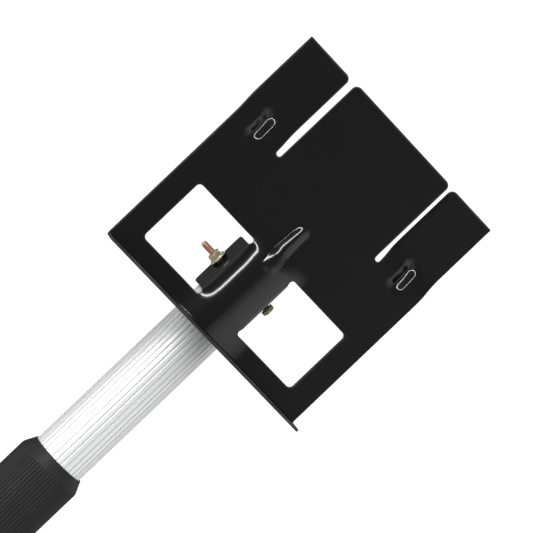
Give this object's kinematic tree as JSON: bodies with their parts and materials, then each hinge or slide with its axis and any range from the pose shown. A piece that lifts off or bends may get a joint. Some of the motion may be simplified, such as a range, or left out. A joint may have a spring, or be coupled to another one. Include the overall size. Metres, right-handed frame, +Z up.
{
  "type": "telescoping sign staff",
  "caption": "Telescoping fluted staff with ribbed rubber grips, a twist lock inside, and a pressed steel holder for a hand-held traffic sign face at its head.",
  "frame": {"origin": "centre of the rubber foot's face, on the staff's axis", "axes": "+Z up the staff, -Y out of the sign holder's front, +X to the viewer's right of that front"},
  "size_m": [0.143, 0.0533, 1.1515],
  "materials": {
    "black_enamel": "gloss",
    "yellow_zinc": "satin",
    "bright_zinc": "satin",
    "bright_aluminium": "satin",
    "black_plastic": "matte",
    "grey_plastic": "satin",
    "black_rubber": "matte"
  },
  "bodies": {
    "outer_pole": {"outer_tube": "bright_aluminium", "collar_bush": "black_plastic", "upper_grip": "black_rubber", "lower_grip": "black_rubber", "end_plug": "black_plastic", "rubber_tip": "black_rubber"},
    "lock_carriage": {"guide_ring": "grey_plastic"},
    "inner_pole": {"inner_tube": "bright_aluminium", "top_plug": "black_plastic", "sign_bracket": "black_enamel", "clamp_bolt": "yellow_zinc", "clamp_nut": "yellow_zinc", "clamp_washer": "bright_zinc", "cam_plug": "black_plastic", "cam_plug_pins": "bright_zinc", "cam_retaining_washer": "bright_zinc", "cam_retaining_screw": "bright_zinc"},
    "lock_cam": {"cam_ring": "grey_plastic"}
  },
  "joints": [
    {"name": "pole_extension", "type": "slide", "parent": "outer_pole", "child": "lock_carriage", "axis": [0, 0, 1], "range_m": [0, 0.7136]},
    {"name": "twist_lock", "type": "hinge", "parent": "lock_carriage", "child": "inner_pole", "pos_m": [0, 0, 0.0575], "axis": [0, 0, 1], "range_deg": [0, 58]},
    {"name": "cam_ring_turn", "type": "hinge", "parent": "inner_pole", "child": "lock_cam", "pos_m": [0.00075, 0, 0.0451], "axis": [0, 0, 1], "range_deg": [-60, 2]}
  ],
  "couplings": [
    {"joint": "cam_ring_turn", "follows": "twist_lock", "ratio": -1}
  ]
}
